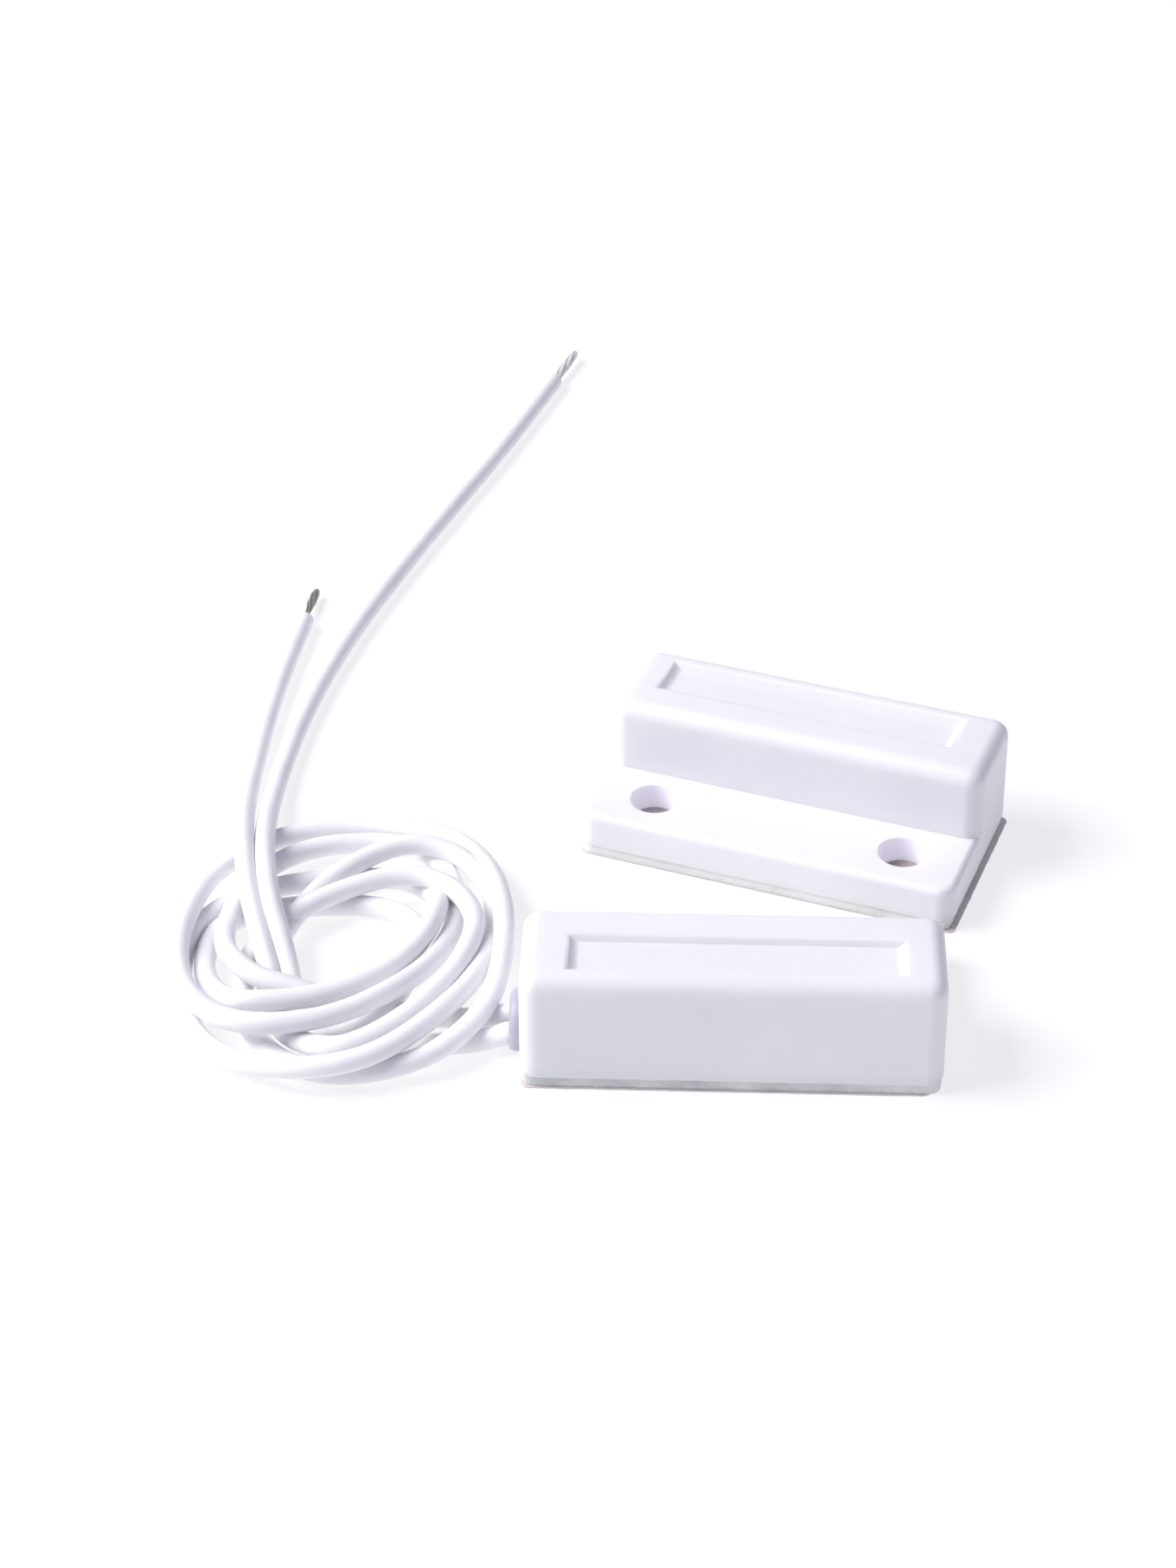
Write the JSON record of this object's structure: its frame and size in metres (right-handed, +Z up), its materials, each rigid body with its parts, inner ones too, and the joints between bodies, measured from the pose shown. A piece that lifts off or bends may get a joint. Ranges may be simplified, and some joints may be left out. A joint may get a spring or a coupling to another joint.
{
  "type": "magnetic door contact",
  "caption": "Surface-mount magnetic door contact: a reed switch half with two coiled leads, and a magnet half beside it.",
  "frame": {"origin": "middle of the switch half's underside, on the release liner's lower face", "axes": "+X along the switch half away from its lead outlet, +Y from its plain face towards its screw flange, +Z up out of the mounting surface"},
  "size_m": [0.0572, 0.1001, 0.0087],
  "materials": {
    "housing": "satin white moulded ABS",
    "potting": "cast resin",
    "glass": "clear glass",
    "reed_metal": "plated reed alloy",
    "solder": "dull solder",
    "magnet": "sintered magnet",
    "foam_tape": "closed-cell foam",
    "liner": "waxed release paper",
    "insulation": "soft white PVC",
    "tinned_wire": "tinned copper strands"
  },
  "bodies": {
    "root": {"switch_housing": "housing", "magnet_housing": "housing", "potting_compound": "potting", "magnet_glue": "potting", "reed_glass_tube": "glass", "reed_blade_left": "reed_metal", "reed_blade_right": "reed_metal", "solder_joint_left": "solder", "solder_joint_right": "solder", "bar_magnet": "magnet", "switch_foam_tape": "foam_tape", "magnet_foam_tape": "foam_tape", "switch_release_liner": "liner", "magnet_release_liner": "liner", "lead_a_inner": "insulation", "lead_b_inner": "insulation", "lead_a_run": "insulation", "lead_b_run": "insulation", "lead_coil": "insulation", "lead_a_tail": "insulation", "lead_b_tail": "insulation", "core_a_inner": "tinned_wire", "core_b_inner": "tinned_wire", "lead_a_tip": "tinned_wire", "lead_b_tip": "tinned_wire"}
  },
  "joints": []
}
